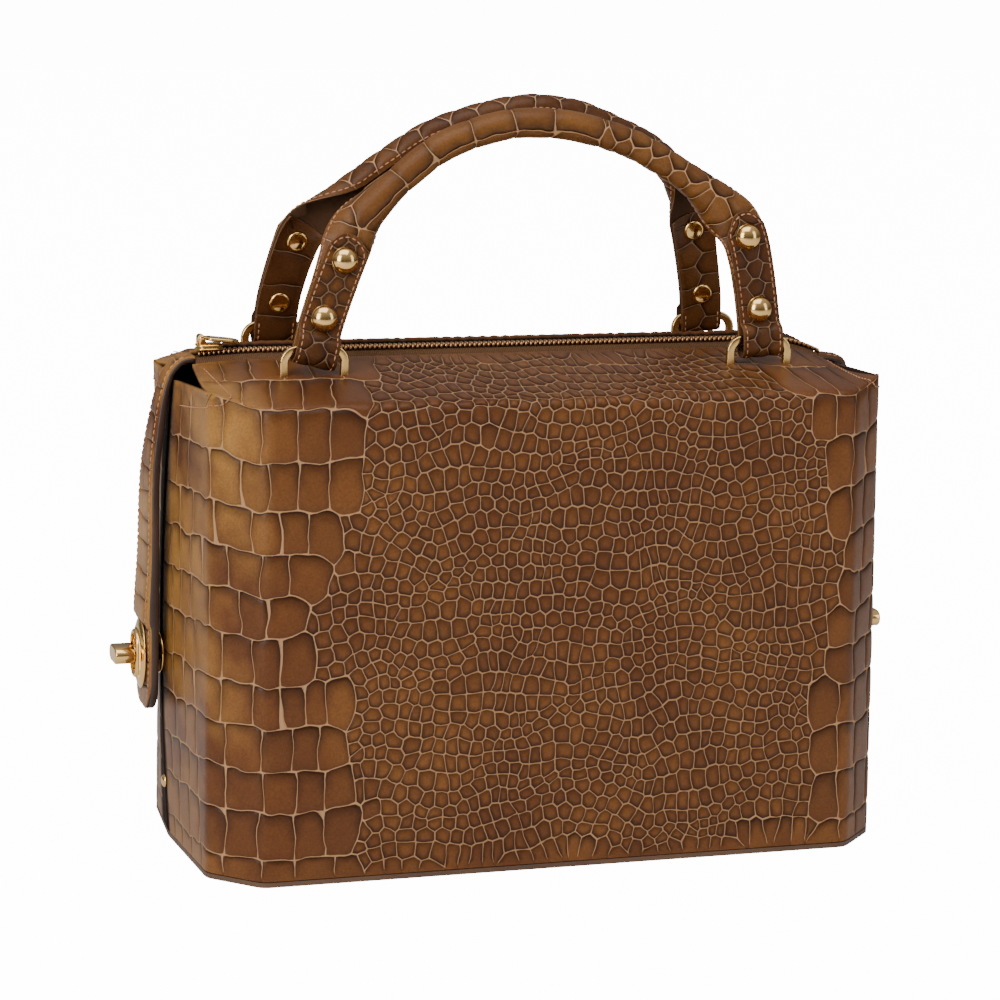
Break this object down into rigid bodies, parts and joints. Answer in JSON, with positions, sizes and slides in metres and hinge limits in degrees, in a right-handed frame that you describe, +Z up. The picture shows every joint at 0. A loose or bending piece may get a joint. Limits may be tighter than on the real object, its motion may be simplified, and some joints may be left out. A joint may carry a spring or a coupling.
{
  "type": "handbag",
  "caption": "Structured crocodile-embossed leather handbag with rolled handles, a zipped top and a strap with a turn lock over each end.",
  "frame": {"origin": "middle of the base panel's underside", "axes": "+Z up; X along the bag's length with the zip slider's end at -X; the front face looks to -Y"},
  "size_m": [0.3561, 0.164, 0.3216],
  "materials": {
    "croc_leather": "semi-gloss crocodile-embossed leather",
    "handle_leather": "semi-gloss embossed leather, darker",
    "gusset_leather": "matt dark leather",
    "base_leather": "matt leather",
    "zip_tape": "woven tape",
    "zip_teeth": "antique bronze",
    "gold_metal": "polished pale gold"
  },
  "bodies": {
    "bag": {"back_shell": "croc_leather", "base_panel": "base_leather", "front_shell": "croc_leather", "gusset_left": "gusset_leather", "gusset_right": "gusset_leather", "handle_back": "handle_leather", "handle_front": "handle_leather", "lock_base_left": "gold_metal", "lock_base_right": "gold_metal", "lock_plate_left": "gold_metal", "lock_plate_right": "gold_metal", "loop_back_left": "gold_metal", "loop_back_right": "gold_metal", "loop_front_left": "gold_metal", "loop_front_right": "gold_metal", "rivet_back_left_lower": "gold_metal", "rivet_back_left_upper": "gold_metal", "rivet_back_right_lower": "gold_metal", "rivet_back_right_upper": "gold_metal", "rivet_front_left_lower": "gold_metal", "rivet_front_left_upper": "gold_metal", "rivet_front_right_lower": "gold_metal", "rivet_front_right_upper": "gold_metal", "strap_left": "croc_leather", "strap_right": "croc_leather", "stud_left": "gold_metal", "stud_right": "gold_metal", "zip_slider": "gold_metal", "zip_tape": "zip_tape", "zip_teeth": "zip_teeth"},
    "turn_lock_left": {"lock_toggle_left": "gold_metal"},
    "turn_lock_right": {"lock_toggle_right": "gold_metal"},
    "pull": {"zip_pull": "gold_metal"}
  },
  "joints": [
    {"name": "lock_turn_left", "type": "hinge", "parent": "bag", "child": "turn_lock_left", "pos_m": [-0.17, 0, 0.083], "axis": [1, 0, 0], "range_deg": [0, 90]},
    {"name": "lock_turn_right", "type": "hinge", "parent": "bag", "child": "turn_lock_right", "pos_m": [0.17, 0, 0.083], "axis": [1, 0, 0], "range_deg": [0, 90]},
    {"name": "zip_pull_swing", "type": "hinge", "parent": "bag", "child": "pull", "pos_m": [-0.1411, 0, 0.2195], "axis": [0, -1, 0], "range_deg": [0, 170]}
  ]
}
